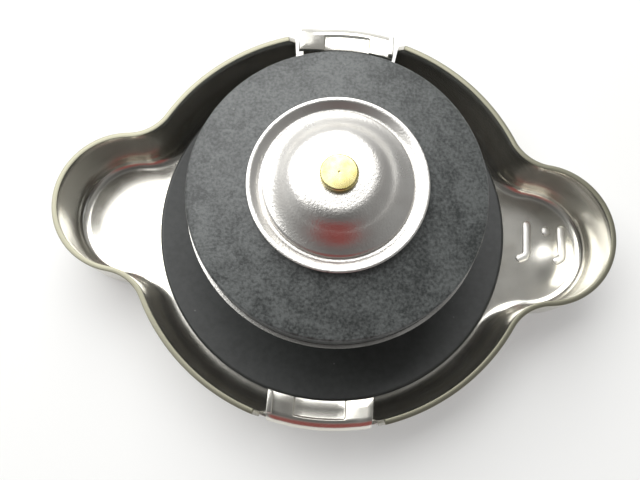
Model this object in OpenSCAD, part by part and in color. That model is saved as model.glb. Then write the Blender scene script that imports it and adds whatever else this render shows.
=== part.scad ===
/* [Cover] */
// Thickness of the pressed cover sheet
cover_t = 0.7; // [0.7:0.05:1]
// Outside radius of the round body of the cover
body_r = 27.45; // [26.5:0.05:30]
// Height of the skirt from the outer face to the rim edge
skirt_h = 10; // [8:0.1:11]
// Outside radius of the bend between the face and the skirt
bend_r = 2.2; // [1.5:0.1:3]
// Distance from the cap axis to the centre of a grip ear
ear_offset = 28; // [26:0.1:31]
// Outside radius of a grip ear
ear_r = 9.75; // [8.5:0.05:11]
// Outside radius of the hollow fillet between the body and an ear
ear_fillet_r = 6; // [4:0.1:9]
// Radius of the sunk panel in the middle of the face
panel_r = 8; // [7:0.1:12]
// Depth of the sunk panel
panel_depth = 1.2; // [1.1:0.05:1.6]

/* [Locking lugs] */
// Thickness of a lug, where the sheet is drawn thinner
lug_t = 0.5; // [0.4:0.05:0.5]
// Width of a lug along the skirt
lug_w = 12.9; // [9:0.1:16]
// Height of the top of a lug above the outer face
lug_top = 11.6; // [11.2:0.1:13]
// Radius of the inner edge of a lug from the cap axis
lug_inner_r = 23.8; // [22.5:0.1:24.5]
// Centreline radius of the bend of a lug
lug_bend_r = 1; // [0.8:0.05:1.4]
// Width of the dip in the middle of a lug
dip_w = 6.2; // [4:0.1:8]
// Depth of the dip in the middle of a lug
dip_depth = 0.3; // [0.2:0.05:0.3]
// Height of the turned-up stop at one end of a lug
stop_h = 0.9; // [0.4:0.05:1.5]
// Rise of the lead-in ramp at the other end of a lug
ramp_h = 0.8; // [0.4:0.05:1.2]
// Width of the relief slot on each side of a lug
slot_w = 1.1; // [0.6:0.05:1.6]
// Height of the bottom of the relief slots above the outer face
slot_z = 4.5; // [3.8:0.1:6]
// Corner cut of the skirt beside a relief slot
slot_corner = 0.9; // [0.4:0.1:1.5]

/* [Centre rivet] */
// Radius of the rivet shank
rivet_r = 2.5; // [2:0.05:3]
// Radius of the outer rivet head
rivet_head_r = 4.5; // [4:0.1:5.5]
// Height of the outer rivet head
rivet_head_h = 0.9; // [0.6:0.05:1]
// Radius of the closed inner rivet head
rivet_clinch_r = 4; // [3.5:0.1:4.5]
// Height of the closed inner rivet head
rivet_clinch_h = 1; // [0.7:0.05:1.1]
// Radius of the washer under the inner head
washer_r = 5.5; // [5:0.1:7]
// Thickness of the washer under the inner head
washer_t = 0.6; // [0.4:0.05:0.8]

/* [Upper seal] */
// Thickness of the spring disc behind the seal
disc_t = 0.4; // [0.3:0.05:0.6]
// Radius of the spring disc
disc_r = 22.5; // [21:0.1:23.5]
// Radius of the flat middle of the spring disc
disc_flat_r = 15; // [14.8:0.1:17]
// Rise of the spring disc from its flat middle to its edge
disc_rise = 1.55; // [1:0.05:2.2]
// Radius of the rubber seal
seal_r = 24; // [23:0.1:24.8]
// Thickness of the rubber seal
seal_t = 1.6; // [1.2:0.05:2]
// Edge round of the rubber parts
rubber_edge = 0.4; // [0.2:0.05:0.6]

/* [Spring cage] */
// Outside radius of the cage wall
cage_r = 14.2; // [13.8:0.05:14.6]
// Thickness of the cage sheet
cage_t = 0.6; // [0.4:0.05:0.7]
// Inside radius of the turned-in lip at the mouth
cage_lip_r = 12.8; // [12.65:0.05:12.9]
// Centreline bend radius of the cage
cage_bend_r = 0.8; // [0.5:0.05:1]
// Number of windows in the cage wall
window_count = 4; // [3:1:5]
// Width of a window as an angle
window_angle = 38; // [20:1:50]
// Height of a window
window_h = 4; // [2:0.1:4.6]

/* [Pressure valve] */
// Radius of the rubber gasket
gasket_r = 17.5; // [17.2:0.05:18]
// Thickness of the rubber gasket at its edge
gasket_t = 3.9; // [3:0.05:4.2]
// Rise of the gasket face from its edge to the middle
gasket_crown = 1.3; // [0.6:0.05:1.5]
// Radius where the crown of the gasket levels out
gasket_crown_r = 9.9; // [9.5:0.1:12]
// Radius of the hole in the gasket
gasket_hole_r = 6.8; // [6.3:0.05:7.5]
// Height of the face of the gasket above the outer face of the cover
gasket_z = 22.3; // [21.8:0.05:23]
// Thickness of the valve plate sheet
plate_t = 0.4; // [0.35:0.05:0.5]
// Height of the upturned rim of the plate above its floor
plate_rim_h = 0.3; // [0.25:0.05:0.9]
// Number of legs that hold the plate in the cage
leg_count = 3; // [3:1:4]
// Width of a leg
leg_w = 6; // [4:0.1:7]
// Centreline radius of a leg from the cap axis
leg_r = 12.2; // [12.1:0.05:12.25]
// Reach of the outward toe of a leg, beyond the centreline of the leg
toe_reach = 1.1; // [0.95:0.05:1.15]
// Number of vent holes round the stem
vent_count = 4; // [3:1:6]
// Radius of a vent hole
vent_r = 0.8; // [0.5:0.05:0.9]
// Radius of the circle of vent holes
vent_circle_r = 5.3; // [5.2:0.05:5.5]
// Opening travel of the pressure valve
pressure_travel = 3; // [2:0.1:3.1]

/* [Pressure spring] */
// Wire diameter of the pressure spring
main_wire = 1.8; // [1.4:0.05:2]
// Mean radius of the pressure spring
main_spring_r = 9.9; // [9.2:0.05:10.2]
// Number of turns of the pressure spring
main_turns = 4.5; // [3.5:0.5:4.5]

/* [Vacuum valve] */
// Thickness of the vacuum dish sheet
dish_t = 0.45; // [0.35:0.05:0.6]
// Radius of the vacuum dish
dish_r = 10.4; // [10.2:0.05:11]
// Radius of the sealing groove of the dish
groove_r = 8.75; // [8.6:0.05:8.9]
// Width of the floor of the sealing groove
groove_w = 0.5; // [0.3:0.05:0.7]
// Height of the rim of the dish above the gasket
dish_rim_h = 1; // [0.8:0.05:1.4]
// Width of the level lip round the rim of the dish
dish_lip_w = 0.6; // [0.5:0.05:0.7]
// Height of the step inside the groove above the gasket
dish_step_h = 1.1; // [0.9:0.05:1.3]
// Height of the flat top of the dish above the gasket
dome_h = 3.5; // [3.2:0.05:3.9]
// Radius of the shoulder of the dome
dome_r = 4.9; // [4.6:0.05:5.2]
// Radius of the foot of the dome
dome_foot_r = 7.2; // [7:0.05:7.4]
// Radius of the stem between its washer and the dish
stem_r = 1.8; // [1.5:0.05:1.9]
// Radius of the closed end of the stem
stem_end_r = 2.1; // [1.95:0.05:2.3]
// Height of the closed end of the stem above the dish
stem_proud = 0.8; // [0.6:0.05:1.6]
// Radius of the collar of the stem under the dish
stem_collar_r = 3.2; // [2.8:0.1:3.8]
// Height of the collar of the stem
stem_collar_h = 1; // [0.6:0.1:1.4]
// Radius of the peened lower end of the stem
peen_r = 2.6; // [2.4:0.1:3]
// Height of the peened lower end of the stem
peen_h = 0.8; // [0.5:0.05:0.9]
// Radius of the washer on the stem
stem_washer_r = 4.6; // [4.4:0.1:5]
// Thickness of the washer on the stem
stem_washer_t = 0.6; // [0.4:0.05:0.8]
// Opening travel of the vacuum valve
vacuum_travel = 2; // [1:0.1:2.2]

/* [Vacuum spring] */
// Wire diameter of the vacuum spring
small_wire = 0.6; // [0.4:0.05:0.7]
// Mean radius of the vacuum spring
small_spring_r = 3.6; // [3.3:0.05:3.8]
// Number of turns of the vacuum spring
small_turns = 6; // [4:0.5:6]
// Length of the vacuum spring with the valve shut
small_spring_len = 6.4; // [6:0.1:6.6]

/* [Fits] */
// Radial running clearance of a shaft in a hole
run_clear = 0.05; // [0.02:0.01:0.1]
// Clearance between faces that part when a joint moves
face_clear = 0.05; // [0.03:0.01:0.1]
// Clearance of the gasket inside the rim of the valve plate
gasket_clear = 0.05; // [0.02:0.01:0.1]
// Clearance of a coil spring from its seats
coil_clear = 0.05; // [0.03:0.01:0.1]

/* [Hidden] */
$fn = 96;

// Steps in one bend of a sheet profile
BEND_STEPS = 5;
// Steps of a coil spring in one turn
MAIN_STEPS = 40;
SMALL_STEPS = 24;
// Sides of the wire of a coil spring
WIRE_SIDES = 8;
// Reach of a cutter past the face that it opens
CUT = 1;
// Depth to which the hollow fillets cut into the round walls that they run into
SEAM = 0.03;

// Heights of the stack, from the cover up
panel_z = panel_depth + cover_t;
disc_z = panel_z + face_clear;
seal_z = disc_z + disc_t;
cage_z = seal_z + seal_t;
cage_floor_z = cage_z + cage_t;
washer_z = cage_floor_z + face_clear;
clinch_z = washer_z + washer_t;
plate_floor_z = gasket_z - gasket_t;
plate_z = plate_floor_z - plate_t;
lip_top_z = plate_z - pressure_travel - 5 * face_clear;
toe_top_z = lip_top_z - cage_t - face_clear;
seat_z = gasket_z + gasket_crown + face_clear;
dome_z = seat_z + dome_h;
stem_washer_top_z = plate_z - small_spring_len;
stem_washer_z = stem_washer_top_z - stem_washer_t;
plate_r = gasket_r + gasket_clear + plate_t;
swivel_hole_r = rivet_r + run_clear;

// Centre of the hollow fillet between the body and an ear
fillet_body = body_r + ear_fillet_r;
fillet_ear = ear_r + ear_fillet_r;
fillet_x = (fillet_body^2 - fillet_ear^2 + ear_offset^2) / (2 * ear_offset);
fillet_y = sqrt(fillet_body^2 - fillet_x^2);

// Half angle of a lug, seen from the cap axis
lug_half = asin(lug_w / 2 / body_r);

// A vector of length one
function unit(v) = v / norm(v);

// The normal on the left of the way from a to b
function left(a, b) = unit([a.y - b.y, b.x - a.x]);

// The points of an arc of radius r that rounds the corner b of the way a, b, c
function round_corner(a, b, c, r) =
    let (u = unit(a - b), w = unit(c - b), half = acos(u * w) / 2)
    let (m = b + unit(u + w) * r / sin(half), reach = r / tan(half))
    let (p = b + u * reach - m, q = b + w * reach - m)
    let (start = atan2(p.y, p.x), turn = atan2(p.x * q.y - p.y * q.x, p * q))
    [for (i = [0 : BEND_STEPS]) m + r * [cos(start + turn * i / BEND_STEPS), sin(start + turn * i / BEND_STEPS)]];

// A way with each inner corner rounded by its own bend radius
function bent(way, radii) = concat(
    [way[0]],
    [for (i = [1 : len(way) - 2]) each round_corner(way[i - 1], way[i], way[i + 1], radii[i - 1])],
    [way[len(way) - 1]]);

// The side of a sheet that lies d to the left of its centreline
function side(way, d) = [for (i = [0 : len(way) - 1])
    let (before = left(way[max(i - 1, 0)], way[max(i, 1)]))
    let (after = left(way[min(i, len(way) - 2)], way[min(i + 1, len(way) - 1)]))
    let (mitre = unit(before + after))
    way[i] + mitre * d / (mitre * after)];

// The section of a bent sheet of thickness t about its centreline
function sheet(way, t) = concat(side(way, t / 2), [for (i = [len(way) - 1 : -1 : 0]) side(way, -t / 2)[i]]);

// A section turned through an angle that is centred on a direction
module sector(middle, angle) {
    rotate([0, 0, middle - angle / 2])
        rotate_extrude(angle = angle)
            children();
}

// A round pan with a rounded lower edge
module pan(r, h, edge) {
    rotate_extrude()
        union() {
            square([r - edge, h]);
            translate([r / 2, edge]) square([r / 2, h - edge]);
            translate([r - edge, edge]) circle(edge);
        }
}

// What the hollow fillet leaves out beside an ear
module fillet_cutter(r, h, edge) {
    rotate_extrude()
        difference() {
            square([r + edge, h]);
            translate([r, edge]) square([2 * edge, h]);
            translate([r + edge, edge]) circle(edge);
        }
}

// The pan of the body and both ears, drawn in from the outside of the cover by inset
module eared_pan(inset, h) {
    edge = bend_r - inset;
    difference() {
        union() {
            pan(body_r - inset, h, edge);
            for (turn = [0, 180])
                rotate([0, 0, turn]) {
                    translate([ear_offset, 0, 0]) pan(ear_r - inset, h, edge);
                    linear_extrude(h)
                        polygon([[0, 0], [fillet_x, -fillet_y], [ear_offset, 0], [fillet_x, fillet_y]]);
                }
        }
        for (x = [-fillet_x, fillet_x], y = [-fillet_y, fillet_y])
            translate([x, y, 0]) fillet_cutter(ear_fillet_r + inset + SEAM, h + CUT, edge);
    }
}

// The side of a lead-in ramp: from height z it goes down by depth, and rises to the end of a lug
module ramp_side(z, depth) {
    start = dip_w / 2 + lug_t;
    end = lug_w / 2 + CUT;
    rise = ramp_h * (end - start) / (lug_w / 2 - start);
    polygon([[-start, z - depth], [-start, z], [-end, z + rise], [-end, z - depth]]);
}

// A ramp side drawn out along Y, between two distances from the cap axis
module ramp_block(z, depth, inner, outer) {
    translate([0, outer, 0])
        rotate([90, 0, 0])
            linear_extrude(outer - inner)
                ramp_side(z, depth);
}

// A locking lug, bent in from the skirt: a stop at one end, a dip and a lead-in ramp
module lug() {
    wall_r = body_r - cover_t / 2;
    mid_z = lug_top - lug_t / 2;
    inner = sqrt(pow(lug_inner_r, 2) - pow(lug_w / 2, 2)) - lug_t;
    flat = wall_r - lug_bend_r - inner;
    way = [[wall_r, slot_z - 2 * CUT], [wall_r, mid_z], [inner, mid_z]];
    top = lug_top + stop_h + ramp_h;
    difference() {
        intersection() {
            union() {
                difference() {
                    sector(90, 3 * lug_half) polygon(sheet(bent(way, [lug_bend_r]), lug_t));
                    translate([-dip_w / 2, inner, lug_top - dip_depth]) cube([dip_w, flat, dip_depth + CUT]);
                }
                translate([-dip_w / 2, inner, lug_top - lug_t - dip_depth]) cube([dip_w, flat, lug_t]);
                translate([lug_w / 2 - lug_t, inner, mid_z]) cube([lug_t + CUT, flat, lug_t / 2 + stop_h]);
                intersection() {
                    ramp_block(lug_top, lug_t / 2, inner, wall_r);
                    cylinder(h = top, r = wall_r);
                }
            }
            translate([-lug_w / 2, 0, slot_z - CUT]) cube([lug_w, body_r + CUT, top]);
        }
        ramp_block(lug_top - lug_t, lug_t, inner, inner + flat);
        cylinder(h = top + CUT, r = lug_inner_r);
    }
}

// The window in the skirt for a lug, with its cut corners
module lug_window() {
    half = lug_w / 2 + slot_w;
    corner_z = skirt_h - slot_corner;
    flare = half + slot_corner + CUT;
    top = skirt_h + CUT;
    translate([0, body_r + CUT, 0])
        rotate([90, 0, 0])
            linear_extrude(body_r + CUT - lug_inner_r)
                polygon([[-half, slot_z], [half, slot_z], [half, corner_z], [flare, top], [-flare, top], [-half, corner_z]]);
}

// The sunk panel as a solid from height z, widened by grow
module panel(z, grow) {
    translate([0, 0, z])
        cylinder(h = panel_depth, r1 = panel_r + grow, r2 = panel_r + grow - panel_depth);
}

module cover() color("gainsboro") {
    difference() {
        eared_pan(0, skirt_h);
        difference() {
            translate([0, 0, cover_t]) eared_pan(cover_t, skirt_h);
            panel(cover_t, cover_t * (sqrt(2) - 1));
        }
        panel(0, 0);
        cylinder(h = 2 * panel_z, r = rivet_r);
        for (turn = [0, 180]) rotate([0, 0, turn]) lug_window();
    }
    for (turn = [0, 180]) rotate([0, 0, turn]) lug();
}

module centre_rivet() color("silver") {
    translate([0, 0, panel_depth - rivet_head_h]) cylinder(h = rivet_head_h, r = rivet_head_r);
    translate([0, 0, panel_depth]) cylinder(h = clinch_z - panel_depth, r = rivet_r);
    translate([0, 0, clinch_z])
        cylinder(h = rivet_clinch_h, r1 = rivet_clinch_r, r2 = rivet_clinch_r - rivet_clinch_h / 2);
}

module rivet_washer() color("silver")
    translate([0, 0, washer_z])
        difference() {
            cylinder(h = washer_t, r = washer_r);
            translate([0, 0, -CUT]) cylinder(h = washer_t + 2 * CUT, r = rivet_r);
        }

// Height of the underside of the spring disc at radius r
function disc_height(r) = disc_z + disc_rise * max(r - disc_flat_r, 0) / (disc_r - disc_flat_r);

module spring_disc() color("lightsteelblue")
    rotate_extrude()
        polygon([
            [swivel_hole_r, disc_z],
            [disc_flat_r, disc_z],
            [disc_r, disc_height(disc_r)],
            [disc_r, disc_height(disc_r) + disc_t],
            [disc_flat_r, seal_z],
            [swivel_hole_r, seal_z],
        ]);

module upper_seal() color("dimgray") {
    edge_z = disc_height(seal_r) + disc_t;
    rotate_extrude()
        polygon([
            [swivel_hole_r, seal_z],
            [disc_flat_r, seal_z],
            [seal_r - rubber_edge, disc_height(seal_r - rubber_edge) + disc_t],
            [seal_r, edge_z + rubber_edge],
            [seal_r, edge_z + seal_t - rubber_edge],
            [seal_r - rubber_edge, disc_height(seal_r - rubber_edge) + disc_t + seal_t],
            [disc_flat_r, cage_z],
            [swivel_hole_r, cage_z],
        ]);
}

module spring_cage() color("silver") {
    wall_r = cage_r - cage_t / 2;
    floor_z = cage_z + cage_t / 2;
    lip_z = lip_top_z - cage_t / 2;
    window_mid_z = (cage_floor_z + toe_top_z) / 2;
    way = [[swivel_hole_r, floor_z], [wall_r, floor_z], [wall_r, lip_z], [cage_lip_r, lip_z]];
    difference() {
        rotate_extrude() polygon(sheet(bent(way, [cage_bend_r, cage_bend_r]), cage_t));
        for (i = [0 : window_count - 1])
            sector(i * 360 / window_count, window_angle)
                translate([cage_lip_r, window_mid_z - window_h / 2]) square([cage_t + CUT + cage_r - cage_lip_r, window_h]);
    }
}

// A coil of round wire between two seats, with one closed turn at each end
module coil(wire, r, turns, bottom, top, steps) {
    low = bottom + coil_clear + wire / 2;
    rise = top - bottom - 2 * coil_clear - wire;
    closed = wire + coil_clear;
    open = (rise - 2 * closed) / (turns - 2);
    count = round(turns * steps);
    height = function(t) low + closed * min(t, 1) + open * max(min(t, turns - 1) - 1, 0) + closed * max(t - turns + 1, 0);
    ring = function(i) let (t = i / steps) [for (k = [0 : WIRE_SIDES - 1])
        let (a = 360 * k / WIRE_SIDES, reach = r + wire / 2 * cos(a))
        [reach * cos(360 * t), reach * sin(360 * t), height(t) + wire / 2 * sin(a)]];
    points = [for (i = [0 : count]) each ring(i)];
    walls = [for (i = [0 : count - 1], k = [0 : WIRE_SIDES - 1])
        let (a = i * WIRE_SIDES, next = (k + 1) % WIRE_SIDES)
        [a + k, a + next, a + WIRE_SIDES + next, a + WIRE_SIDES + k]];
    first = [for (k = [WIRE_SIDES - 1 : -1 : 0]) k];
    last = [for (k = [0 : WIRE_SIDES - 1]) count * WIRE_SIDES + k];
    polyhedron(points, concat([first], walls, [last]));
}

module pressure_spring() color("slategray")
    coil(main_wire, main_spring_r, main_turns, cage_floor_z, plate_z, MAIN_STEPS);

// A leg of the valve plate, with its toe caught under the lip of the cage
module plate_leg(middle) {
    toe_z = toe_top_z - plate_t / 2;
    way = [[leg_r, plate_floor_z - plate_t / 2], [leg_r, toe_z], [leg_r + toe_reach, toe_z]];
    sector(middle, 2 * asin(leg_w / 2 / leg_r)) polygon(sheet(bent(way, [plate_t]), plate_t));
}

// The hole that a leg leaves in the floor of the plate
module leg_hole(middle) {
    outer = leg_r - plate_t / 2;
    length = plate_floor_z - toe_top_z;
    sector(middle, 2 * asin(leg_w / 2 / leg_r))
        translate([outer - length, plate_z - CUT]) square([length, plate_t + 2 * CUT]);
}

module valve_plate() color("lightgray") {
    rim_r = plate_r - plate_t / 2;
    floor_z = plate_z + plate_t / 2;
    way = [[stem_r + run_clear, floor_z], [rim_r, floor_z], [rim_r, plate_floor_z + plate_rim_h]];
    difference() {
        rotate_extrude() polygon(sheet(bent(way, [plate_t * 0.6]), plate_t));
        for (i = [0 : leg_count - 1]) leg_hole(i * 360 / leg_count);
        for (i = [0 : vent_count - 1])
            rotate([0, 0, (i + 0.5) * 360 / vent_count])
                translate([vent_circle_r, 0, plate_z - CUT]) cylinder(h = plate_t + 2 * CUT, r = vent_r);
    }
    for (i = [0 : leg_count - 1]) plate_leg(i * 360 / leg_count);
}

module pressure_gasket() color("#3b3d3f")
    rotate_extrude()
        polygon([
            [gasket_hole_r, plate_floor_z],
            [gasket_r - rubber_edge, plate_floor_z],
            [gasket_r, plate_floor_z + rubber_edge],
            [gasket_r, gasket_z - rubber_edge],
            [gasket_r - rubber_edge, gasket_z],
            [gasket_crown_r, gasket_z + gasket_crown],
            [gasket_hole_r, gasket_z + gasket_crown],
        ]);

module vacuum_dish() color("whitesmoke") {
    top_z = dome_z - dish_t / 2;
    step_z = seat_z + dish_step_h - dish_t / 2;
    floor_z = seat_z + dish_t / 2;
    inner_r = groove_r - groove_w / 2;
    outer_r = groove_r + groove_w / 2;
    rim_z = seat_z + dish_rim_h - dish_t / 2;
    way = [[stem_end_r, top_z], [dome_r, top_z], [dome_foot_r, step_z + dish_t], [inner_r - dish_t / 4, step_z],
        [inner_r, floor_z], [outer_r, floor_z], [dish_r - dish_lip_w, rim_z], [dish_r, rim_z]];
    bends = [dome_r * 0.55, dome_r * 0.9, dish_t * 0.6, dish_t * 0.3, groove_w * 1.8, dish_t];
    rotate_extrude() polygon(sheet(bent(way, bends), dish_t));
}

module vacuum_stem() color("goldenrod") {
    under_dome_z = dome_z - dish_t;
    peen_z = stem_washer_z - peen_h;
    translate([0, 0, peen_z]) cylinder(h = peen_h, r1 = peen_r - peen_h / 2, r2 = peen_r);
    translate([0, 0, stem_washer_z]) cylinder(h = under_dome_z - stem_washer_z, r = stem_r);
    translate([0, 0, under_dome_z - stem_collar_h]) cylinder(h = stem_collar_h, r = stem_collar_r);
    translate([0, 0, under_dome_z]) cylinder(h = dish_t + stem_proud, r = stem_end_r);
}

module vacuum_spring() color("slategray")
    coil(small_wire, small_spring_r, small_turns, stem_washer_top_z, plate_z, SMALL_STEPS);

module stem_washer() color("silver")
    translate([0, 0, stem_washer_z])
        difference() {
            cylinder(h = stem_washer_t, r = stem_washer_r);
            translate([0, 0, -CUT]) cylinder(h = stem_washer_t + 2 * CUT, r = stem_r);
        }

cover();
centre_rivet();
rivet_washer();
spring_disc();
upper_seal();
spring_cage();
pressure_spring();
valve_plate();
pressure_gasket();
vacuum_dish();
vacuum_stem();
vacuum_spring();
stem_washer();
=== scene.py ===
"""A full-size radiator cap lying on the outer face of its cover, with its valves up.

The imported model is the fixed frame. The pieces that show most are made again here with finer
sections and edges, in the same places, and every piece gets the finish of its real material.
Sizes are in millimetres, as in the part, and become metres where a mesh is made.
"""

import math
from collections import namedtuple

import bmesh
import bpy
from mathutils import Euler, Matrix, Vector


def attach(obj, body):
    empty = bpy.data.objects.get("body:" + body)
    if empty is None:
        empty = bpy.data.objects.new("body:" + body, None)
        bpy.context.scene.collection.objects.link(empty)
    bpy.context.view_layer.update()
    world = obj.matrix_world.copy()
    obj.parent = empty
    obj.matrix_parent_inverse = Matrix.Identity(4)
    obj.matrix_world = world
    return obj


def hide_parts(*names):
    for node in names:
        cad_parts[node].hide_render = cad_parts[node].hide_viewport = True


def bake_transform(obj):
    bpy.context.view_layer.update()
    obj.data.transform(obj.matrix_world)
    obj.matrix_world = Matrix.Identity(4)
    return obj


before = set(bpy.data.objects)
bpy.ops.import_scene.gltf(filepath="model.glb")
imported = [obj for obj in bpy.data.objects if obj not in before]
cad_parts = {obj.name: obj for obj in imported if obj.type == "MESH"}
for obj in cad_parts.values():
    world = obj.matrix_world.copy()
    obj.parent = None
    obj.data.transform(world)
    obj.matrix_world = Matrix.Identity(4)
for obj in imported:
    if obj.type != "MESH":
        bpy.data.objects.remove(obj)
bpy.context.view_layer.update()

MM = 0.001

# Cover
COVER_T = 0.7
BODY_R = 27.45
SKIRT_H = 10
BEND_R = 2.2
BODY_BEND_R = 3
ABOVE_BEND_Z = 3.3
EAR_OFFSET = 28
EAR_R = 9.75
EAR_FILLET_R = 6
PANEL_R = 8
PANEL_DEPTH = 1.2
PANEL_BEND_W = 0.4
PANEL_BEND_H = 0.1
RIVET_R = 2.5
CUT_EDGE = 0.1
SHEARED_H = 0.12
SHEARED_FACING = 0.2

# Locking lugs
LUG_W = 12.9
LUG_TOP = 11.6
LUG_INNER_R = 23.8
LUG_BEND_R = 1.4
LUG_WALL_Z = (6, 8)
DIP_W = 6.2
DIP_DEPTH = 0.3
DIP_SLOPE = 0.12
DIP_MARKS = (2, 1)
RAMP_H = 0.8
STOP_H = 0.9
STOP_INSET = 0.3
STOP_SETBACK = 0.05
STOP_EDGE = 0.12
SLOT_W = 1.1
SLOT_Z = 4.5
SLOT_CORNER = 0.9

# Pressed figures on the floor of an ear, seen from behind
FIGURE_STROKES = [
    [(28.8, 3.6), (28.8, -1), (27.8, -1.5)],
    [(33.9, 3.3), (33.9, -1), (33.1, -1.5)],
    [(31.6, 3), (31.6, 2.8)],
]
FIGURE_W = 1.25
FIGURE_H = 0.25
FIGURE_SINK = 0.02
FIGURE_BEND_R = 0.8
# The low bulge of the ear floor beside the figures
BULGE_PLACE = (32.6, -2)
BULGE_R = 4
BULGE_H = 0.42
BULGE_FADE = 1

# Upper seal
SWIVEL_HOLE_R = 2.55
SEAL_Z = 2.35
SEAL_T = 1.6
SEAL_R = 24
SEAL_FLAT_R = 15
SEAL_SLOPE = 1.55 / 7.5
SEAL_BEND_R = 6
SEAL_EDGE = 0.4

# Pressure gasket
GASKET_R = 17.5
GASKET_HOLE_R = 6.8
GASKET_FLOOR_Z = 18.4
GASKET_Z = 22.3
GASKET_CROWN = 1.3
GASKET_CROWN_R = 9.9
GASKET_CROWN_BEND_R = 8
GASKET_EDGE = 0.4
GASKET_HOLE_EDGES = (0.2, 0.3)

# Vacuum dish, with its bend radii from the dome out to the lip
DISH_T = 0.45
DISH_R = 10.25
SEAT_Z = 23.65
DISH_RIM_H = 1
DISH_LIP_W = 0.28
DISH_LIP_DROP = 0.06
DISH_LIP_EDGE = 0.2
DISH_LIP_NEAR = 0.01
DISH_STEP_H = 1.1
GROOVE_R = 8.75
GROOVE_W = 0.5
DOME_Z = 27.15
DOME_R = 5
DOME_FOOT_R = 6.9
DISH_BENDS = (3.2, 5, 0.27, 0.135, 0.9, 0.54)

# Brass stem
STEM_R = 1.8
STEM_END_R = 2.1
STEM_END_Z = 27.95
STEM_EDGE = 0.25
STEM_DIMPLE_R = 0.15
STEM_DIMPLE_DEPTH = 0.08
STEM_DIMPLE_EDGE = 0.08
STEM_COLLAR_R = 3.2
STEM_COLLAR_H = 1
STEM_COLLAR_EDGE = 0.15
PEEN_Z = 10.2
PEEN_R = 2.6
PEEN_TAPER = 0.4
PEEN_EDGES = (0.3, 0.2)
STEM_WASHER_Z = 11

# Coil springs: wire diameter, mean radius, turns, the two seats and the steps of a turn
MAIN_COIL = (1.8, 9.9, 4.5, 4.55, 18, 64)
SMALL_COIL = (0.6, 3.6, 6, 11.6, 18, 40)
COIL_GAP = 0.05
CLOSED_TURNS = 2
WIRE_SIDES = 14

# Camera, paper and window
CAMERA_PLACE = (-1.132, -22.878, 92.336)
CAMERA_TURN = (13.351, -0.738, 4.444)
CAMERA_LENS = 36
CAMERA_SENSOR = 36
CAMERA_NEAR = 2
FLOOR_R = 3000
FLOOR_GAP = 0.05
FLOOR_SIDES = 64
PAPER_FADE = (100, 500)
WINDOW_PLACE = (-130, 208, 314)
WINDOW_SIZE = (560, 375)
WINDOW_POWER = 2.2
# The plain level of the room's light, and of the red that the metal mirrors
ROOM_LEVEL = 0.38
RED_LEVEL = 0.42
# Directions from the cap to what the metal mirrors in the room
ROOM_WAYS = {
    "window": (-0.66, 0.75, 0),
    "front": (0.05, -0.97, 0.22),
    "camera": (0, -0.3, 0.954),
    "red": (0.05, -0.92, 0.38),
}

# Steps of a round corner, a full turn, and the outline and rows of the cover
ROUND_STEPS = 8
TURN_STEPS = 224
EAR_STEPS = 60
FILLET_STEPS = 24
BODY_STEPS = 40
FLOOR_ROWS = 24
SKIRT_ROWS = 4

# The rings that Blender's wave texture draws in one unit
WAVE_RINGS = 20 / (2 * math.pi)

# What counts as the same place, and the gap in metres that is merged
NEAR = 1e-6
MERGE_M = 1e-7
# Angles past which an edge is shaded sharp, and past which it is rounded
SHARP_ANGLE = math.radians(35)
CUT_ANGLE = math.radians(50)


# ---- Shapes ----


def round_corner(a, b, c, r):
    """The points of an arc of radius r that rounds the corner b of the way a, b, c."""
    b = Vector(b)
    u, w = (Vector(a) - b).normalized(), (Vector(c) - b).normalized()
    half = u.angle(w) / 2
    reach = min(r / math.tan(half), (Vector(a) - b).length, (Vector(c) - b).length)
    r = reach * math.tan(half)
    middle = b + (u + w).normalized() * r / math.sin(half)
    p, q = b + u * reach - middle, b + w * reach - middle
    start, turn = math.atan2(p.y, p.x), math.atan2(p.x * q.y - p.y * q.x, p.dot(q))
    angles = [start + turn * i / ROUND_STEPS for i in range(ROUND_STEPS + 1)]
    return [(middle.x + r * math.cos(t), middle.y + r * math.sin(t)) for t in angles]


def rounded(loop, radii):
    """A closed section with each corner rounded by its own radius, where that isn't 0."""
    points = []
    for i, (corner, r) in enumerate(zip(loop, radii)):
        if r:
            points += round_corner(loop[i - 1], corner, loop[(i + 1) % len(loop)], r)
        else:
            points.append(corner)
    return points


def bent(way, radii):
    """A way with each inner corner rounded by its own bend radius."""
    points = [way[0]]
    for i, r in enumerate(radii, 1):
        points += round_corner(way[i - 1], way[i], way[i + 1], r)
    return points + [way[-1]]


def sheet_section(way, t):
    """The closed section of a bent sheet of thickness t about its centreline."""
    points = [Vector(p) for p in way]
    sides = ([], [])
    for i, p in enumerate(points):
        ahead = points[min(i + 1, len(points) - 1)] - points[min(i, len(points) - 2)]
        behind = points[max(i, 1)] - points[max(i - 1, 0)]
        normals = [Vector((-d.y, d.x)).normalized() for d in (behind, ahead)]
        mitre = (normals[0] + normals[1]).normalized()
        step = mitre * (t / 2) / mitre.dot(normals[1])
        sides[0].append(tuple(p + step))
        sides[1].append(tuple(p - step))
    return sides[0] + sides[1][::-1]


def soften(mesh):
    """Shades a mesh smooth, with its hard edges kept sharp."""
    mesh.shade_smooth()
    mesh.set_sharp_from_angle(angle=SHARP_ANGLE)


def mesh_of(name, points, faces):
    """A mesh with its doubles merged, its normals outward and its hard edges sharp."""
    mesh = bpy.data.meshes.new(name)
    mesh.from_pydata([[x * MM for x in p] for p in points], [], faces)
    work = bmesh.new()
    work.from_mesh(mesh)
    bmesh.ops.remove_doubles(work, verts=work.verts, dist=MERGE_M)
    bmesh.ops.recalc_face_normals(work, faces=work.faces)
    work.to_mesh(mesh)
    work.free()
    soften(mesh)
    return mesh


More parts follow.
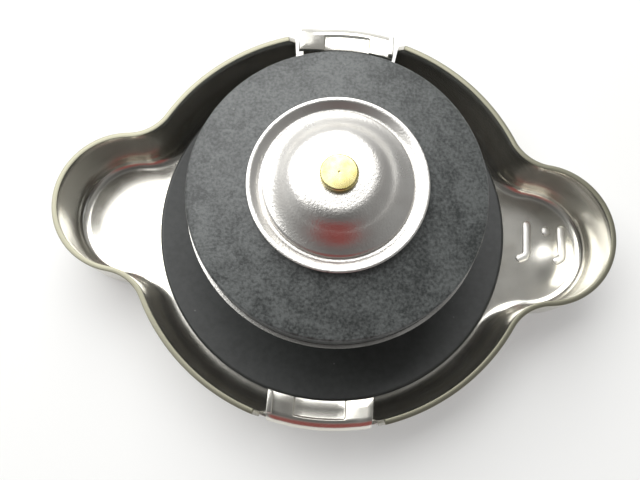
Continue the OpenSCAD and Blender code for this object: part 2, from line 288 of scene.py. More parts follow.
def turned(name, section):
    """A section of (radius, height) points turned once about the cap axis."""
    points, faces = [], []
    count = len(section)
    for i in range(TURN_STEPS):
        angle = 2 * math.pi * i / TURN_STEPS
        points += [(r * math.cos(angle), r * math.sin(angle), z) for r, z in section]
        a, b = i * count, (i + 1) % TURN_STEPS * count
        for k in range(count):
            n = (k + 1) % count
            faces.append((a + k, b + k, b + n, a + n))
    return mesh_of(name, points, faces)


def add_object(name, data):
    """A new object in the scene with this mesh, light or camera."""
    made = bpy.data.objects.new(name, data)
    bpy.context.scene.collection.objects.link(made)
    return made


def turned_piece(name, section, radii):
    """A piece turned from a section with rounded corners."""
    return add_object(name, turned(name, rounded(section, radii)))


def settle(made):
    """Makes the result of an object's modifiers its own mesh."""
    bpy.context.view_layer.update()
    result = made.evaluated_get(bpy.context.evaluated_depsgraph_get())
    mesh = bpy.data.meshes.new_from_object(result)
    made.modifiers.clear()
    made.data = mesh
    mesh.name = made.name
    soften(mesh)


def dress(made, material, slot, *nodes):
    """Gives a finished piece its material, and hides the imported nodes that it stands for."""
    made.data.materials.clear()
    made.data.materials.append(material)
    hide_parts(*nodes)


def fit(made, material, body, slot, *nodes):
    """Dresses a finished piece and fixes it to its body."""
    dress(made, material, slot, *nodes)
    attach(made, body)


# ---- Nodes and materials ----


def add_node(tree, kind, inputs=None, **settings):
    """Adds a node with its settings, and sets or links its inputs."""
    made = tree.nodes.new(kind)
    for name, value in settings.items():
        setattr(made, name, value)
    for name, value in (inputs or {}).items():
        if isinstance(value, bpy.types.NodeSocket):
            tree.links.new(value, made.inputs[name])
        else:
            made.inputs[name].default_value = value
    return made


def srgb(code):
    """A linear colour from an sRGB hex value."""
    parts = [int(code[i : i + 2], 16) / 255 for i in (1, 3, 5)]
    linear = [c / 12.92 if c <= 0.04045 else ((c + 0.055) / 1.055) ** 2.4 for c in parts]
    return (*linear, 1)


def per_mm(size):
    """The scale of a pattern whose features are this many millimetres apart."""
    return 1 / (size * MM)


def new_material(name):
    """A material with its tree, its shader and the Object coordinates that patterns read."""
    material = bpy.data.materials.new(name)
    material.use_nodes = True
    tree = material.node_tree
    tree.nodes.clear()
    shader = add_node(tree, "ShaderNodeBsdfPrincipled")
    add_node(tree, "ShaderNodeOutputMaterial", {"Surface": shader.outputs[0]})
    place = add_node(tree, "ShaderNodeTexCoord").outputs["Object"]
    return material, tree, shader, place


def bright_nickel():
    """Nickel plate on pressed steel: bright, with faint waves, a thin haze and a dull cut rim."""
    material, tree, shader, place = new_material("bright nickel plate on pressed steel")
    haze = add_node(tree, "ShaderNodeTexNoise", {"Vector": place, "Scale": per_mm(5), "Detail": 4})
    tint = add_node(tree, "ShaderNodeValToRGB", {"Fac": haze.outputs["Fac"]})
    for stop, at, code in zip(tint.color_ramp.elements, (0.3, 0.7), ("#D8D5CB", "#E6E4DC")):
        stop.position, stop.color = at, srgb(code)
    rubs = add_node(
        tree, "ShaderNodeTexNoise", {"Vector": place, "Scale": per_mm(1.5), "Detail": 4}
    )
    rough = add_node(
        tree,
        "ShaderNodeMapRange",
        {
            "Value": rubs.outputs["Fac"],
            "From Min": 0.3,
            "From Max": 0.75,
            "To Min": 0.19,
            "To Max": 0.25,
        },
    )
    facing = add_node(tree, "ShaderNodeTexCoord").outputs["Normal"]
    up = add_node(tree, "ShaderNodeSeparateXYZ", {"Vector": facing}).outputs["Z"]
    height = add_node(tree, "ShaderNodeSeparateXYZ", {"Vector": place}).outputs["Z"]
    at_rim = add_node(
        tree,
        "ShaderNodeMath",
        {0: height, 1: SKIRT_H * MM, 2: SHEARED_H * MM},
        operation="COMPARE",
    )
    on_top = add_node(tree, "ShaderNodeMath", {0: up, 1: SHEARED_FACING}, operation="GREATER_THAN")
    sheared = add_node(
        tree,
        "ShaderNodeMath",
        {0: at_rim.outputs[0], 1: on_top.outputs[0]},
        operation="MULTIPLY",
    )
    colour = add_node(
        tree,
        "ShaderNodeMix",
        {"Factor": sheared.outputs[0], "A": tint.outputs[0], "B": srgb("#8F8D7C")},
        data_type="RGBA",
    )
    dull = add_node(
        tree,
        "ShaderNodeMix",
        {"Factor": sheared.outputs[0], "A": rough.outputs[0], "B": 0.4},
        data_type="FLOAT",
    )
    waves = add_node(tree, "ShaderNodeTexNoise", {"Vector": place, "Scale": per_mm(7), "Detail": 1})
    wavy = add_node(
        tree,
        "ShaderNodeBump",
        {"Height": waves.outputs["Fac"], "Strength": 0.03, "Distance": 0.5 * MM},
    )
    shader.inputs["Metallic"].default_value = 0.92
    tree.links.new(colour.outputs["Result"], shader.inputs["Base Color"])
    tree.links.new(dull.outputs["Result"], shader.inputs["Roughness"])
    tree.links.new(wavy.outputs[0], shader.inputs["Normal"])
    return material


def satin_metal(name, dark, light, smooth, dull, grain, relief=0.2):
    """Drawn or plated sheet: an even satin sheen, with a cloudy grain and a little staining."""
    material, tree, shader, place = new_material(name)
    cloud = add_node(
        tree, "ShaderNodeTexNoise", {"Vector": place, "Scale": per_mm(grain), "Detail": 5}
    )
    tint = add_node(tree, "ShaderNodeValToRGB", {"Fac": cloud.outputs["Fac"]})
    for stop, at, code in zip(tint.color_ramp.elements, (0.3, 0.6), (dark, light)):
        stop.position, stop.color = at, srgb(code)
    # The pits are coarser than real ones, so that they show
    pits = add_node(
        tree, "ShaderNodeTexNoise", {"Vector": place, "Scale": per_mm(0.25), "Detail": 3}
    )
    rough = add_node(
        tree,
        "ShaderNodeMapRange",
        {
            "Value": cloud.outputs["Fac"],
            "From Min": 0.3,
            "From Max": 0.7,
            "To Min": dull,
            "To Max": smooth,
        },
    )
    bump = add_node(
        tree,
        "ShaderNodeBump",
        {"Height": pits.outputs["Fac"], "Strength": relief, "Distance": 0.05 * MM},
    )
    shader.inputs["Metallic"].default_value = 1
    tree.links.new(tint.outputs[0], shader.inputs["Base Color"])
    tree.links.new(rough.outputs[0], shader.inputs["Roughness"])
    tree.links.new(bump.outputs[0], shader.inputs["Normal"])
    return material


def moulded_rubber(name, dark, light, mottle, wear_share, relief, roughness):
    """Moulded rubber: dark, mottled like fine leather, with pale dust and broad faint rings."""
    material, tree, shader, place = new_material(name)
    skin = add_node(
        tree,
        "ShaderNodeTexNoise",
        {"Vector": place, "Scale": per_mm(mottle), "Detail": 6, "Roughness": 0.6},
    )
    wear = add_node(
        tree,
        "ShaderNodeTexNoise",
        {"Vector": place, "Scale": per_mm(4), "Detail": 5, "Distortion": 1},
    )
    blend = add_node(
        tree,
        "ShaderNodeMix",
        {"Factor": wear_share, "A": skin.outputs["Fac"], "B": wear.outputs["Fac"]},
        data_type="FLOAT",
    )
    tint = add_node(tree, "ShaderNodeValToRGB", {"Fac": blend.outputs["Result"]})
    for stop, at, code in zip(tint.color_ramp.elements, (0.4, 0.6), (dark, light)):
        stop.position, stop.color = at, srgb(code)
    grains = add_node(tree, "ShaderNodeTexVoronoi", {"Vector": place, "Scale": per_mm(1.6)})
    close = add_node(
        tree,
        "ShaderNodeMapRange",
        {"Value": grains.outputs["Distance"], "From Min": 0.09, "From Max": 0.04},
    )
    some = add_node(tree, "ShaderNodeSeparateColor", {"Color": grains.outputs["Color"]})
    picked = add_node(
        tree,
        "ShaderNodeMapRange",
        {"Value": some.outputs[0], "From Min": 0.7, "From Max": 1, "To Max": 0.4},
    )
    dust = add_node(
        tree, "ShaderNodeMath", {0: close.outputs[0], 1: picked.outputs[0]}, operation="MULTIPLY"
    )
    dusty = add_node(
        tree,
        "ShaderNodeMix",
        {"Factor": dust.outputs[0], "A": tint.outputs[0], "B": srgb("#A3A4A0")},
        data_type="RGBA",
    )
    rings = add_node(
        tree,
        "ShaderNodeTexWave",
        {"Vector": place, "Scale": per_mm(8.8) / WAVE_RINGS, "Distortion": 2, "Detail": 3},
        wave_type="RINGS",
        rings_direction="Z",
    )
    marks = add_node(
        tree,
        "ShaderNodeBump",
        {"Height": rings.outputs["Fac"], "Strength": 0.1, "Distance": 0.05 * MM},
    )
    leather = add_node(
        tree,
        "ShaderNodeBump",
        {
            "Height": blend.outputs["Result"],
            "Normal": marks.outputs[0],
            "Strength": relief,
            "Distance": 0.15 * MM,
        },
    )
    shader.inputs["Roughness"].default_value = roughness
    tree.links.new(dusty.outputs["Result"], shader.inputs["Base Color"])
    tree.links.new(leather.outputs[0], shader.inputs["Normal"])
    return material


def turned_brass():
    """Turned brass: a pale yellow metal, a little stained, with a faint ring on its end."""
    material, tree, shader, place = new_material("turned brass")
    stain = add_node(
        tree, "ShaderNodeTexNoise", {"Vector": place, "Scale": per_mm(1.2), "Detail": 4}
    )
    tint = add_node(tree, "ShaderNodeValToRGB", {"Fac": stain.outputs["Fac"]})
    for stop, at, code in zip(tint.color_ramp.elements, (0.3, 0.6), ("#C6B873", "#DBD19C")):
        stop.position, stop.color = at, srgb(code)
    rings = add_node(
        tree,
        "ShaderNodeTexWave",
        {"Vector": place, "Scale": per_mm(1.885) / WAVE_RINGS, "Distortion": 1},
        wave_type="RINGS",
        rings_direction="Z",
    )
    bump = add_node(
        tree,
        "ShaderNodeBump",
        {"Height": rings.outputs["Fac"], "Strength": 0.1, "Distance": 0.03 * MM},
    )
    shader.inputs["Metallic"].default_value = 1
    shader.inputs["Roughness"].default_value = 0.26
    tree.links.new(tint.outputs[0], shader.inputs["Base Color"])
    tree.links.new(bump.outputs[0], shader.inputs["Normal"])
    return material


nickel = bright_nickel()
# Zinc plate is grey and a little dull
zinc = satin_metal("zinc plated steel", "#A9ADAF", "#C6CACB", 0.3, 0.45, 1.5)
# Rolled spring sheet is smooth, so its rim shines
spring_sheet = satin_metal("rolled stainless spring sheet", "#C2C0BB", "#D8D6D1", 0.18, 0.28, 2.5)
# Drawn stainless is pale, with a soft sheen and a fine grain
drawn_stainless = satin_metal("drawn stainless steel", "#D0CDC8", "#E0DED9", 0.27, 0.34, 3, 0.5)
# Rubbed plate is the palest, and matt
rubbed_nickel = satin_metal("rubbed nickel plate", "#E4E2DC", "#F0EEE9", 0.4, 0.5, 1)
# Tempered wire is dark under its film of oxide
spring_wire = satin_metal("oil tempered spring wire", "#6F6C67", "#96938C", 0.3, 0.45, 0.8)
# The seal is smooth, even and almost black
seal_rubber = moulded_rubber(
    "smooth moulded seal rubber", "#2F3130", "#383A39", 0.9, 0.3, 0.05, 0.44
)
# The gasket is greyer, rougher and more worn
gasket_rubber = moulded_rubber("matt gasket rubber", "#2E3130", "#5E6160", 0.35, 0.4, 0.5, 0.4)
brass = turned_brass()


# ---- Cover ----

# A place on the outline of the cover: the middle and radius of its arc, the side of the arc that
# the sheet lies on, the direction outwards, and the radius of the bend at the foot of its wall
Station = namedtuple("Station", "middle r side out bend")


def arc(middle, r, side, angles, bends, count):
    """Stations round an arc, from the first angle and bend radius up to the last."""
    stations = []
    for i in range(count):
        angle, bend = [a + (b - a) * i / count for a, b in (angles, bends)]
        out = (math.cos(math.radians(angle)), math.sin(math.radians(angle)))
        stations.append(Station(middle, r, side, out, bend))
    return stations


def body_station(x):
    """A station of the body wall, at a place along X on its +Y side."""
    out = (x / BODY_R, math.sqrt(1 - (x / BODY_R) ** 2))
    return Station((0, 0), BODY_R, -1, out, BODY_BEND_R)


def half_outline():
    """The stations of half of the outline, from the tip of one ear to the tip of the other."""
    near, far = BODY_R + EAR_FILLET_R, EAR_R + EAR_FILLET_R
    x = (near**2 - far**2 + EAR_OFFSET**2) / (2 * EAR_OFFSET)
    y = math.sqrt(near**2 - x**2)
    body = math.degrees(math.atan2(y, x))
    ear = math.degrees(math.atan2(y, x - EAR_OFFSET))
    corner = LUG_W / 2 + SLOT_W + SLOT_CORNER
    wall = math.degrees(math.acos(corner / BODY_R))
    lug = [LUG_W / 2, LUG_W / 2 - COVER_T, LUG_W / 2 - 2 * COVER_T]
    dip = [DIP_W / 2 + DIP_SLOPE, DIP_W / 2, *DIP_MARKS]
    marks = [corner, LUG_W / 2 + SLOT_W, *lug, *dip, 0]
    marks += [-m for m in reversed(marks[:-1])]
    at_ear, at_body = (BEND_R, BEND_R), (BODY_BEND_R, BODY_BEND_R)
    to_body, to_ear = (BEND_R, BODY_BEND_R), (BODY_BEND_R, BEND_R)
    stations = arc((EAR_OFFSET, 0), EAR_R, -1, (0, ear), at_ear, EAR_STEPS)
    stations += arc((x, y), EAR_FILLET_R, 1, (ear + 180, body + 180), to_body, FILLET_STEPS)
    stations += arc((0, 0), BODY_R, -1, (body, wall), at_body, BODY_STEPS)
    stations += [body_station(m) for m in marks]
    stations += arc((0, 0), BODY_R, -1, (180 - wall, 180 - body), at_body, BODY_STEPS)[1:]
    stations += arc((-x, y), EAR_FILLET_R, 1, (360 - body, 360 - ear), to_ear, FILLET_STEPS)
    stations += arc((-EAR_OFFSET, 0), EAR_R, -1, (180 - ear, 180), at_ear, EAR_STEPS)
    return stations


def at_inset(station, inset):
    """The point of a station that lies this far in from the outer side of the wall."""
    (x, y), (u, v) = station.middle, station.out
    reach = station.r + station.side * inset
    return x + reach * u, y + reach * v


def lug_rows(x):
    """A lug's outer side from the slot up and in, at a place along X on the +Y side."""
    bend_z = LUG_TOP - LUG_BEND_R
    rows = [(BODY_R, z) for z in (*LUG_WALL_Z, bend_z)]
    for i in range(1, ROUND_STEPS + 1):
        t = math.pi / 2 * i / ROUND_STEPS
        inset, rise = LUG_BEND_R * (1 - math.cos(t)), LUG_BEND_R * math.sin(t)
        rows.append((BODY_R - inset, bend_z + rise))
    flat = BODY_R - LUG_BEND_R - DIP_SLOPE
    dip = DIP_DEPTH if abs(x) <= DIP_W / 2 + NEAR else 0
    rows += [(r, LUG_TOP - dip) for r in (flat, (flat + LUG_INNER_R) / 2, LUG_INNER_R)]
    start = DIP_W / 2 + DIP_SLOPE
    ramp = RAMP_H * max(-x - start, 0) / (LUG_W / 2 - start)
    lift = ramp / (LUG_TOP - SLOT_Z)
    return [(x, math.sqrt(r * r - x * x), z + lift * (z - SLOT_Z)) for r, z in rows]


def column(station):
    """The points of the cover's outer side at a station, from the rivet hole out and up."""
    bend = station.bend
    edge = Vector(at_inset(station, bend))
    out, reach = edge.normalized(), edge.length - PANEL_R
    foot_r = PANEL_R - PANEL_DEPTH
    rows = [(RIVET_R, PANEL_DEPTH), (foot_r - PANEL_BEND_W, PANEL_DEPTH)]
    rows += [(foot_r, PANEL_DEPTH - PANEL_BEND_H), (PANEL_R, 0)]
    rows += [(PANEL_R + reach * i / FLOOR_ROWS, 0) for i in range(1, FLOOR_ROWS)]
    points = [(out.x * r, out.y * r, z) for r, z in rows]
    for i in range(ROUND_STEPS + 1):
        t = math.pi / 2 * i / ROUND_STEPS
        points.append((*at_inset(station, bend * (1 - math.sin(t))), bend * (1 - math.cos(t))))
    wall = at_inset(station, 0)
    points += [(*wall, z) for z in (ABOVE_BEND_Z, SLOT_Z)]
    on_body = station.middle == (0, 0)
    x = abs(wall[0])
    if on_body and x < LUG_W / 2 + NEAR:
        return points + lug_rows(wall[0])
    slot_edge = on_body and abs(x - LUG_W / 2 - SLOT_W) < NEAR
    top = SKIRT_H - SLOT_CORNER if slot_edge else SKIRT_H
    rise = (top - SLOT_Z) / SKIRT_ROWS
    return points + [(*wall, SLOT_Z + rise * i) for i in range(1, SKIRT_ROWS + 1)]


def smooth(share):
    """A soft step from 0 to 1."""
    share = min(max(share, 0), 1)
    return share * share * (3 - 2 * share)


def floor_rise(x, y):
    """How far the bulge lifts the floor of the ear with the figures."""
    to_wall = EAR_R - BEND_R - math.hypot(x - EAR_OFFSET, y)
    away = math.hypot(x - BULGE_PLACE[0], y - BULGE_PLACE[1])
    return BULGE_H * smooth(1 - away / BULGE_R) * smooth(to_wall / BULGE_FADE)


def cover_mesh():
    """The outer side of the cover as one open sheet, with a slot on each side of a lug."""
    half = [column(s) for s in half_outline()]
    columns = half + [[(-x, -y, z) for x, y, z in c] for c in half]
    columns = [[(x, y, z or floor_rise(x, y)) for x, y, z in c] for c in columns]
    slot_row = len(columns[0]) - SKIRT_ROWS - 1
    points, faces, starts = [], [], []
    for c in columns:
        starts.append(len(points))
        points += c
    for i, c in enumerate(columns):
        n = (i + 1) % len(columns)
        alike = len(c) == len(columns[n])
        rows = len(c) - 1 if alike else slot_row
        a, b = starts[i], starts[n]
        faces += [(a + k, b + k, b + k + 1, a + k + 1) for k in range(rows)]
    mesh = bpy.data.meshes.new("cover_pressing")
    mesh.from_pydata([[x * MM for x in p] for p in points], [], faces)
    return mesh


def add_stops(made):
    """The turned-up stop at one end of each lug, as a small block in the same mesh."""
    work = bmesh.new()
    work.from_mesh(made.data)
    x0, x1 = LUG_W / 2 - COVER_T, LUG_W / 2
    back = BODY_R - LUG_BEND_R - STOP_INSET
    front = [math.sqrt(LUG_INNER_R**2 - x * x) + STOP_SETBACK for x in (x0, x1)]
    outline = ((x0, front[0]), (x1, front[1]), (x1, back), (x0, back))
    corners = [(*p, z) for z in (LUG_TOP - COVER_T / 2, LUG_TOP + STOP_H) for p in outline]
    rings = ((3, 2, 1, 0), (4, 5, 6, 7), (0, 1, 5, 4), (1, 2, 6, 5), (2, 3, 7, 6), (3, 0, 4, 7))
    for side in (1, -1):
        block = [work.verts.new((side * x * MM, side * y * MM, z * MM)) for x, y, z in corners]
        sides = [work.faces.new([block[i] for i in ring]) for ring in rings]
        edges = list(dict.fromkeys(e for f in sides for e in f.edges))
        bmesh.ops.bevel(
            work, geom=edges, offset=STOP_EDGE * MM, segments=3, profile=0.5, affect="EDGES"
        )
    work.to_mesh(made.data)
    work.free()
    soften(made.data)


def make_cover():
    """The cover as one pressing: its sheet gets a thickness, soft cut edges and the stops."""
    made = add_object("cover_pressing", cover_mesh())
    wall = made.modifiers.new("sheet", "SOLIDIFY")
    wall.thickness = COVER_T * MM
    wall.offset = -1
    wall.use_even_offset = True
    wall.use_quality_normals = True
    edge = made.modifiers.new("cut edge", "BEVEL")
    edge.width = CUT_EDGE * MM
    edge.segments = 2
    edge.limit_method = "ANGLE"
    edge.angle_limit = CUT_ANGLE
    settle(made)
    add_stops(made)
    fit(made, nickel, "cap_cover", "plated_steel", "cover")


def ridge(way):
    """The points and faces of a low round-topped ridge on the ear floor, with round ends."""
    way = [Vector(p) for p in way]
    ahead = [(b - a).normalized() for a, b in zip(way, way[1:])]
    first, last = ahead[0], ahead[-1]
    half = FIGURE_W / 2
    quarter = [math.pi / 2 * i / ROUND_STEPS for i in range(ROUND_STEPS)]
    stations = [(way[0] - first * half * math.cos(t), first, math.sin(t)) for t in quarter]
    stations += [(p, d, 1) for p, d in zip(way, ahead + [last])]
    stations += [(way[-1] + last * half * math.cos(t), last, math.sin(t)) for t in quarter[::-1]]
    across = [math.pi * i / ROUND_STEPS for i in range(ROUND_STEPS + 1)]
    points, faces = [], []
    for p, d, size in stations:
        side = Vector((-d.y, d.x)) * half * size
        z = COVER_T - FIGURE_SINK + floor_rise(*p)
        points += [(*(p + side * math.cos(t)), z + FIGURE_H * math.sin(t) * size) for t in across]
    wide = len(across)
    for i in range(len(stations) - 1):
        a, b = i * wide, (i + 1) * wide
        for k in range(wide):
            n = (k + 1) % wide
            faces.append((a + k, a + n, b + n, b + k))
    return points, faces


def make_figures():
    """The figures pressed through the floor of one ear, as low ridges on it."""
    points, faces = [], []
    for stroke in FIGURE_STROKES:
        made, around = ridge(bent(stroke, [FIGURE_BEND_R] * (len(stroke) - 2)))
        faces += [[i + len(points) for i in face] for face in around]
        points += made
    figures = add_object("ear_figures", mesh_of("ear_figures", points, faces))
    fit(figures, rubbed_nickel, "cap_cover", "plated_steel")


make_cover()
make_figures()


# ---- Seals and valves ----


def make_upper_seal():
    """The rubber disc that lies flat in the middle and rises to its rim."""
    edge_z = SEAL_Z + SEAL_SLOPE * (SEAL_R - SEAL_FLAT_R)
    section = [
        (SWIVEL_HOLE_R, SEAL_Z),
        (SEAL_FLAT_R, SEAL_Z),
        (SEAL_R, edge_z),
        (SEAL_R, edge_z + SEAL_T),
        (SEAL_FLAT_R, SEAL_Z + SEAL_T),
        (SWIVEL_HOLE_R, SEAL_Z + SEAL_T),
    ]
    radii = (0, SEAL_BEND_R, SEAL_EDGE, SEAL_EDGE, SEAL_BEND_R, 0)
    made = turned_piece("upper_seal_ring", section, radii)
    fit(made, seal_rubber, "valve_cage", "seal_rubber", "upper_seal")


def make_gasket():
    """The thick rubber ring, crowned towards its hole."""
    crown_z = GASKET_Z + GASKET_CROWN
    section = [
        (GASKET_HOLE_R, GASKET_FLOOR_Z),
        (GASKET_R, GASKET_FLOOR_Z),
        (GASKET_R, GASKET_Z),
        (GASKET_CROWN_R, crown_z),
        (GASKET_HOLE_R, crown_z),
    ]
    low, high = GASKET_HOLE_EDGES
    radii = (low, GASKET_EDGE, GASKET_EDGE, GASKET_CROWN_BEND_R, high)
    made = turned_piece("pressure_gasket_ring", section, radii)
    fit(made, gasket_rubber, "pressure_valve", "gasket_rubber", "pressure_gasket")


def make_dish():
    """The thin drawn dish: a dome, a step, the groove that seals, and a lip that rolls down."""
    top_z = DOME_Z - DISH_T / 2
    step_z = SEAT_Z + DISH_STEP_H - DISH_T / 2
    floor_z = SEAT_Z + DISH_T / 2
    rim_z = SEAT_Z + DISH_RIM_H - DISH_T / 2
    inner, outer = GROOVE_R - GROOVE_W / 2, GROOVE_R + GROOVE_W / 2
    way = [
        (STEM_END_R, top_z),
        (DOME_R, top_z),
        (DOME_FOOT_R, step_z + DISH_T),
        (inner - DISH_T / 4, step_z),
        (inner, floor_z),
        (outer, floor_z),
        (DISH_R - DISH_LIP_W, rim_z),
        (DISH_R, rim_z - DISH_LIP_DROP),
    ]
    section = sheet_section(bent(way, DISH_BENDS), DISH_T)
    radii = [DISH_LIP_EDGE if r > DISH_R - DISH_LIP_NEAR else 0 for r, z in section]
    made = turned_piece("vacuum_dish_pressing", section, radii)
    fit(made, drawn_stainless, "vacuum_valve", "stainless_dish", "vacuum_dish")


def make_stem():
    """The stem, with its peened inner end, its collar and its closed outer end."""
    collar_top = DOME_Z - DISH_T
    collar = collar_top - STEM_COLLAR_H
    corners = [
        (0, PEEN_Z, 0),
        (PEEN_R - PEEN_TAPER, PEEN_Z, PEEN_EDGES[0]),
        (PEEN_R, STEM_WASHER_Z, PEEN_EDGES[1]),
        (STEM_R, STEM_WASHER_Z, 0),
        (STEM_R, collar, 0),
        (STEM_COLLAR_R, collar, STEM_COLLAR_EDGE),
        (STEM_COLLAR_R, collar_top, STEM_COLLAR_EDGE),
        (STEM_END_R, collar_top, 0),
        (STEM_END_R, STEM_END_Z, STEM_EDGE),
        (STEM_DIMPLE_R, STEM_END_Z, STEM_DIMPLE_EDGE),
        (0, STEM_END_Z - STEM_DIMPLE_DEPTH, 0),
    ]
    section, radii = [(r, z) for r, z, edge in corners], [edge for r, z, edge in corners]
    made = turned_piece("brass_stem", section, radii)
    fit(made, brass, "vacuum_valve", "brass", "vacuum_stem")


make_upper_seal()
make_gasket()
make_dish()
make_stem()


# ---- Coil springs ----


def coil_tree():
    """Winds round wire on a helix whose first and last turns lie closed."""
    tree = bpy.data.node_groups.new("wound coil", "GeometryNodeTree")
    tree.interface.new_socket("Geometry", in_out="INPUT", socket_type="NodeSocketGeometry")
    lengths = ("Wire Radius", "Coil Radius", "First Height", "Closed Pitch", "Open Pitch")
    for name in (*lengths, "Turns"):
        tree.interface.new_socket(name, in_out="INPUT", socket_type="NodeSocketFloat")
    tree.interface.new_socket("Steps per Turn", in_out="INPUT", socket_type="NodeSocketInt")
    tree.interface.new_socket("Wire", in_out="INPUT", socket_type="NodeSocketMaterial")
    tree.interface.new_socket("Geometry", in_out="OUTPUT", socket_type="NodeSocketGeometry")
    given = add_node(tree, "NodeGroupInput").outputs
    index = add_node(tree, "GeometryNodeInputIndex").outputs[0]
    math_of = {}
    steps = [
        ("count", "MULTIPLY_ADD", given["Turns"], given["Steps per Turn"], 1.0),
        ("turn", "DIVIDE", index, given["Steps per Turn"], 0.0),
        ("angle", "MULTIPLY", "turn", 2 * math.pi, 0.0),
        ("cos", "COSINE", "angle", 0.0, 0.0),
        ("sin", "SINE", "angle", 0.0, 0.0),
        ("x", "MULTIPLY", "cos", given["Coil Radius"], 0.0),
        ("y", "MULTIPLY", "sin", given["Coil Radius"], 0.0),
        ("first", "MINIMUM", "turn", 1.0, 0.0),
        ("open turns", "SUBTRACT", given["Turns"], CLOSED_TURNS, 0.0),
        ("after first", "SUBTRACT", "turn", "first", 0.0),
        ("open", "MINIMUM", "after first", "open turns", 0.0),
        ("last", "SUBTRACT", "after first", "open", 0.0),
        ("closed", "ADD", "first", "last", 0.0),
        ("low", "MULTIPLY_ADD", "closed", given["Closed Pitch"], given["First Height"]),
        ("z", "MULTIPLY_ADD", "open", given["Open Pitch"], "low"),
    ]
    for name, operation, *values in steps:
        values = {i: math_of[v] if isinstance(v, str) else v for i, v in enumerate(values)}
        math_of[name] = add_node(tree, "ShaderNodeMath", values, operation=operation).outputs[0]
    line = add_node(tree, "GeometryNodeMeshLine", {"Count": math_of["count"]})
    place = add_node(tree, "ShaderNodeCombineXYZ", {c.upper(): math_of[c] for c in "xyz"})
    wound = add_node(
        tree,
        "GeometryNodeSetPosition",
        {"Geometry": line.outputs[0], "Position": place.outputs[0]},
    )
    path = add_node(tree, "GeometryNodeMeshToCurve", {"Mesh": wound.outputs[0]})
    ring = add_node(
        tree,
        "GeometryNodeCurvePrimitiveCircle",
        {"Resolution": WIRE_SIDES, "Radius": given["Wire Radius"]},
    )
    wire = add_node(
        tree,
        "GeometryNodeCurveToMesh",
        {"Curve": path.outputs[0], "Profile Curve": ring.outputs[0], "Fill Caps": True},
    )
    whole = add_node(tree, "GeometryNodeRealizeInstances", {"Geometry": wire.outputs[0]})
    dressed = add_node(
        tree, "GeometryNodeSetMaterial", {"Geometry": whole.outputs[0], "Material": given["Wire"]}
    )
    add_node(tree, "NodeGroupOutput", {"Geometry": dressed.outputs[0]})
    return tree


def make_coil(name, tree, sizes, node):
    """A coil wound between the heights of its two seats."""
    wire, radius, turns, bottom, top, steps = sizes
    closed = wire + COIL_GAP
    rise = top - bottom - 2 * COIL_GAP - wire
    values = {
        "Wire Radius": wire / 2 * MM,
        "Coil Radius": radius * MM,
        "First Height": (bottom + COIL_GAP + wire / 2) * MM,
        "Closed Pitch": closed * MM,
        "Open Pitch": (rise - CLOSED_TURNS * closed) / (turns - CLOSED_TURNS) * MM,
        "Turns": float(turns),
        "Steps per Turn": steps,
        "Wire": spring_wire,
    }
    made = add_object(name, bpy.data.meshes.new(name))
    winding = made.modifiers.new("winding", "NODES")
    winding.node_group = tree
    for socket in tree.interface.items_tree:
        if socket.name in values:
            winding[socket.identifier] = values[socket.name]
    settle(made)
    dress(made, spring_wire, "spring_wire", node)
    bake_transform(made)


coil = coil_tree()
make_coil("main_coil", coil, MAIN_COIL, "pressure_spring")
make_coil("small_coil", coil, SMALL_COIL, "vacuum_spring")


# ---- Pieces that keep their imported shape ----

for node, finish in {
    "centre_rivet": zinc,
    "rivet_washer": zinc,
    "spring_disc": spring_sheet,
    "spring_cage": zinc,
    "valve_plate": spring_sheet,
    "stem_washer": zinc,
}.items():
    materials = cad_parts[node].data.materials
    materials.clear()
    materials.append(finish)


# ---- Stage, light and camera ----


def paper_material():
    """White paper: it takes the soft shadow, and goes to pure white away from the cap."""
    material, tree, shader, place = new_material("white paper")
    shader.inputs["Base Color"].default_value = srgb("#F3F3F1")
    shader.inputs["Roughness"].default_value = 0.9
    rays = add_node(tree, "ShaderNodeLightPath").outputs
    shown = rays["Is Camera Ray"]
    for ray in ("Is Glossy Ray", "Is Transmission Ray"):
        either = add_node(tree, "ShaderNodeMath", {0: shown, 1: rays[ray]}, operation="MAXIMUM")
        shown = either.outputs[0]
    away = add_node(tree, "ShaderNodeVectorMath", {0: place}, operation="LENGTH")
    fade = add_node(
        tree,
        "ShaderNodeMapRange",
        {
            "Value": away.outputs["Value"],
            "From Min": PAPER_FADE[0] * MM,
            "From Max": PAPER_FADE[1] * MM,
            "To Min": 0.2,
            "To Max": 1,
        },
    )
    share = add_node(tree, "ShaderNodeMath", {0: shown, 1: fade.outputs[0]}, operation="MULTIPLY")
    glow = add_node(tree, "ShaderNodeEmission")
    mixed = add_node(
        tree, "ShaderNodeMixShader", {0: share.outputs[0], 1: shader.outputs[0], 2: glow.outputs[0]}
    )
    output = next(n for n in tree.nodes if n.type == "OUTPUT_MATERIAL")
    tree.links.new(mixed.outputs[0], output.inputs["Surface"])
    return material


def make_floor():
    """A wide round sheet of paper, just under the cap."""
    mesh = bpy.data.meshes.new("floor")
    angles = [2 * math.pi * i / FLOOR_SIDES for i in range(FLOOR_SIDES)]
    rim = [(FLOOR_R * math.cos(t), FLOOR_R * math.sin(t), -FLOOR_GAP) for t in angles]
    mesh.from_pydata([[x * MM for x in p] for p in rim], [], [range(FLOOR_SIDES)])
    made = add_object("floor", mesh)
    mesh.materials.append(paper_material())


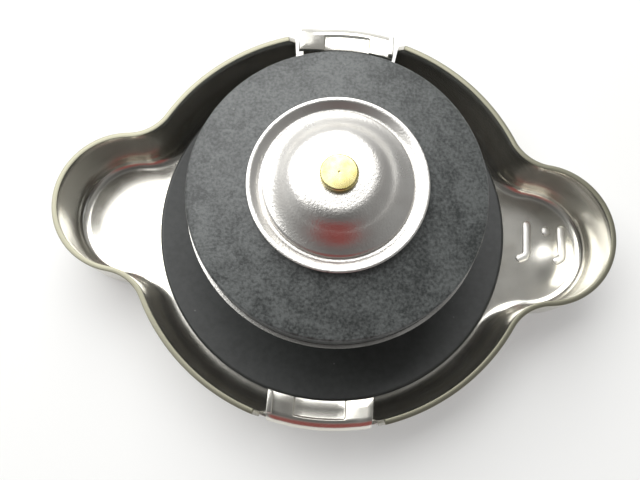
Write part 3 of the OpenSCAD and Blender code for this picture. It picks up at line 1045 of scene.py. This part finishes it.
def make_world():
    """A white room: bright at the window, dim overhead and round the camera, red low in front."""
    world = bpy.data.worlds.new("pale room")
    bpy.context.scene.world = world
    world.use_nodes = True
    tree = world.node_tree
    tree.nodes.clear()
    ray = add_node(tree, "ShaderNodeTexCoord").outputs["Generated"]
    height = add_node(tree, "ShaderNodeSeparateXYZ", {"Vector": ray}).outputs["Z"]
    lean = {}
    for name, way in ROOM_WAYS.items():
        dot = add_node(tree, "ShaderNodeVectorMath", {0: ray, 1: way}, operation="DOT_PRODUCT")
        lean[name] = dot.outputs["Value"]
    ranges = {
        "walls": (height, 0.95, 0.6, 0.28, 0.35),
        "window": (lean["window"], 0, 0.8, 0, 0.5),
        "front": (lean["front"], 0.3, 0.75, 1, 0.6),
        "camera": (lean["camera"], 0.9, 0.97, 1, 0.4),
        "red": (lean["red"], 0.82, 0.93, 0, 1),
    }
    sockets = ("Value", "From Min", "From Max", "To Min", "To Max")
    share = {}
    for name, values in ranges.items():
        share[name] = add_node(tree, "ShaderNodeMapRange", dict(zip(sockets, values))).outputs[0]
    room = share["walls"]
    for name, operation in (("window", "ADD"), ("front", "MULTIPLY"), ("camera", "MULTIPLY")):
        step = add_node(tree, "ShaderNodeMath", {0: room, 1: share[name]}, operation=operation)
        room = step.outputs[0]
    rays = add_node(tree, "ShaderNodeLightPath").outputs
    mirrored = add_node(
        tree,
        "ShaderNodeMath",
        {0: rays["Is Glossy Ray"], 1: rays["Is Transmission Ray"]},
        operation="MAXIMUM",
    )
    level = add_node(
        tree,
        "ShaderNodeMix",
        {"Factor": mirrored.outputs[0], "A": ROOM_LEVEL, "B": room},
        data_type="FLOAT",
    )
    shown = add_node(
        tree,
        "ShaderNodeMix",
        {"Factor": rays["Is Camera Ray"], "A": level.outputs[0], "B": 1.0},
        data_type="FLOAT",
    )
    red = add_node(
        tree, "ShaderNodeMath", {0: share["red"], 1: rays["Is Glossy Ray"]}, operation="MULTIPLY"
    )
    hue = add_node(
        tree,
        "ShaderNodeMix",
        {"Factor": red.outputs[0], "A": srgb("#FFFFFF"), "B": srgb("#D25A54")},
        data_type="RGBA",
    )
    strength = add_node(
        tree,
        "ShaderNodeMix",
        {"Factor": red.outputs[0], "A": shown.outputs[0], "B": RED_LEVEL},
        data_type="FLOAT",
    )
    back = add_node(
        tree,
        "ShaderNodeBackground",
        {"Color": hue.outputs["Result"], "Strength": strength.outputs[0]},
    )
    add_node(tree, "ShaderNodeOutputWorld", {"Surface": back.outputs[0]})


def make_window():
    """The window as a wide soft lamp that faces the cap."""
    light = bpy.data.lights.new("window", "AREA")
    light.shape = "RECTANGLE"
    light.size, light.size_y = [c * MM for c in WINDOW_SIZE]
    light.energy = WINDOW_POWER
    made = add_object("window", light)
    made.location = Vector(WINDOW_PLACE) * MM
    made.rotation_euler = (-made.location).to_track_quat("-Z", "Y").to_euler()


def make_camera():
    """The camera, a little in front of the cap and almost straight above it."""
    data = bpy.data.cameras.new("camera")
    data.lens = CAMERA_LENS
    data.sensor_width = CAMERA_SENSOR
    data.clip_start = CAMERA_NEAR * MM
    made = add_object("camera", data)
    made.location = Vector(CAMERA_PLACE) * MM
    made.rotation_euler = Euler([math.radians(a) for a in CAMERA_TURN])
    bpy.context.scene.camera = made


make_floor()
make_world()
make_window()
make_camera()
bpy.context.scene.view_settings.view_transform = "Standard"
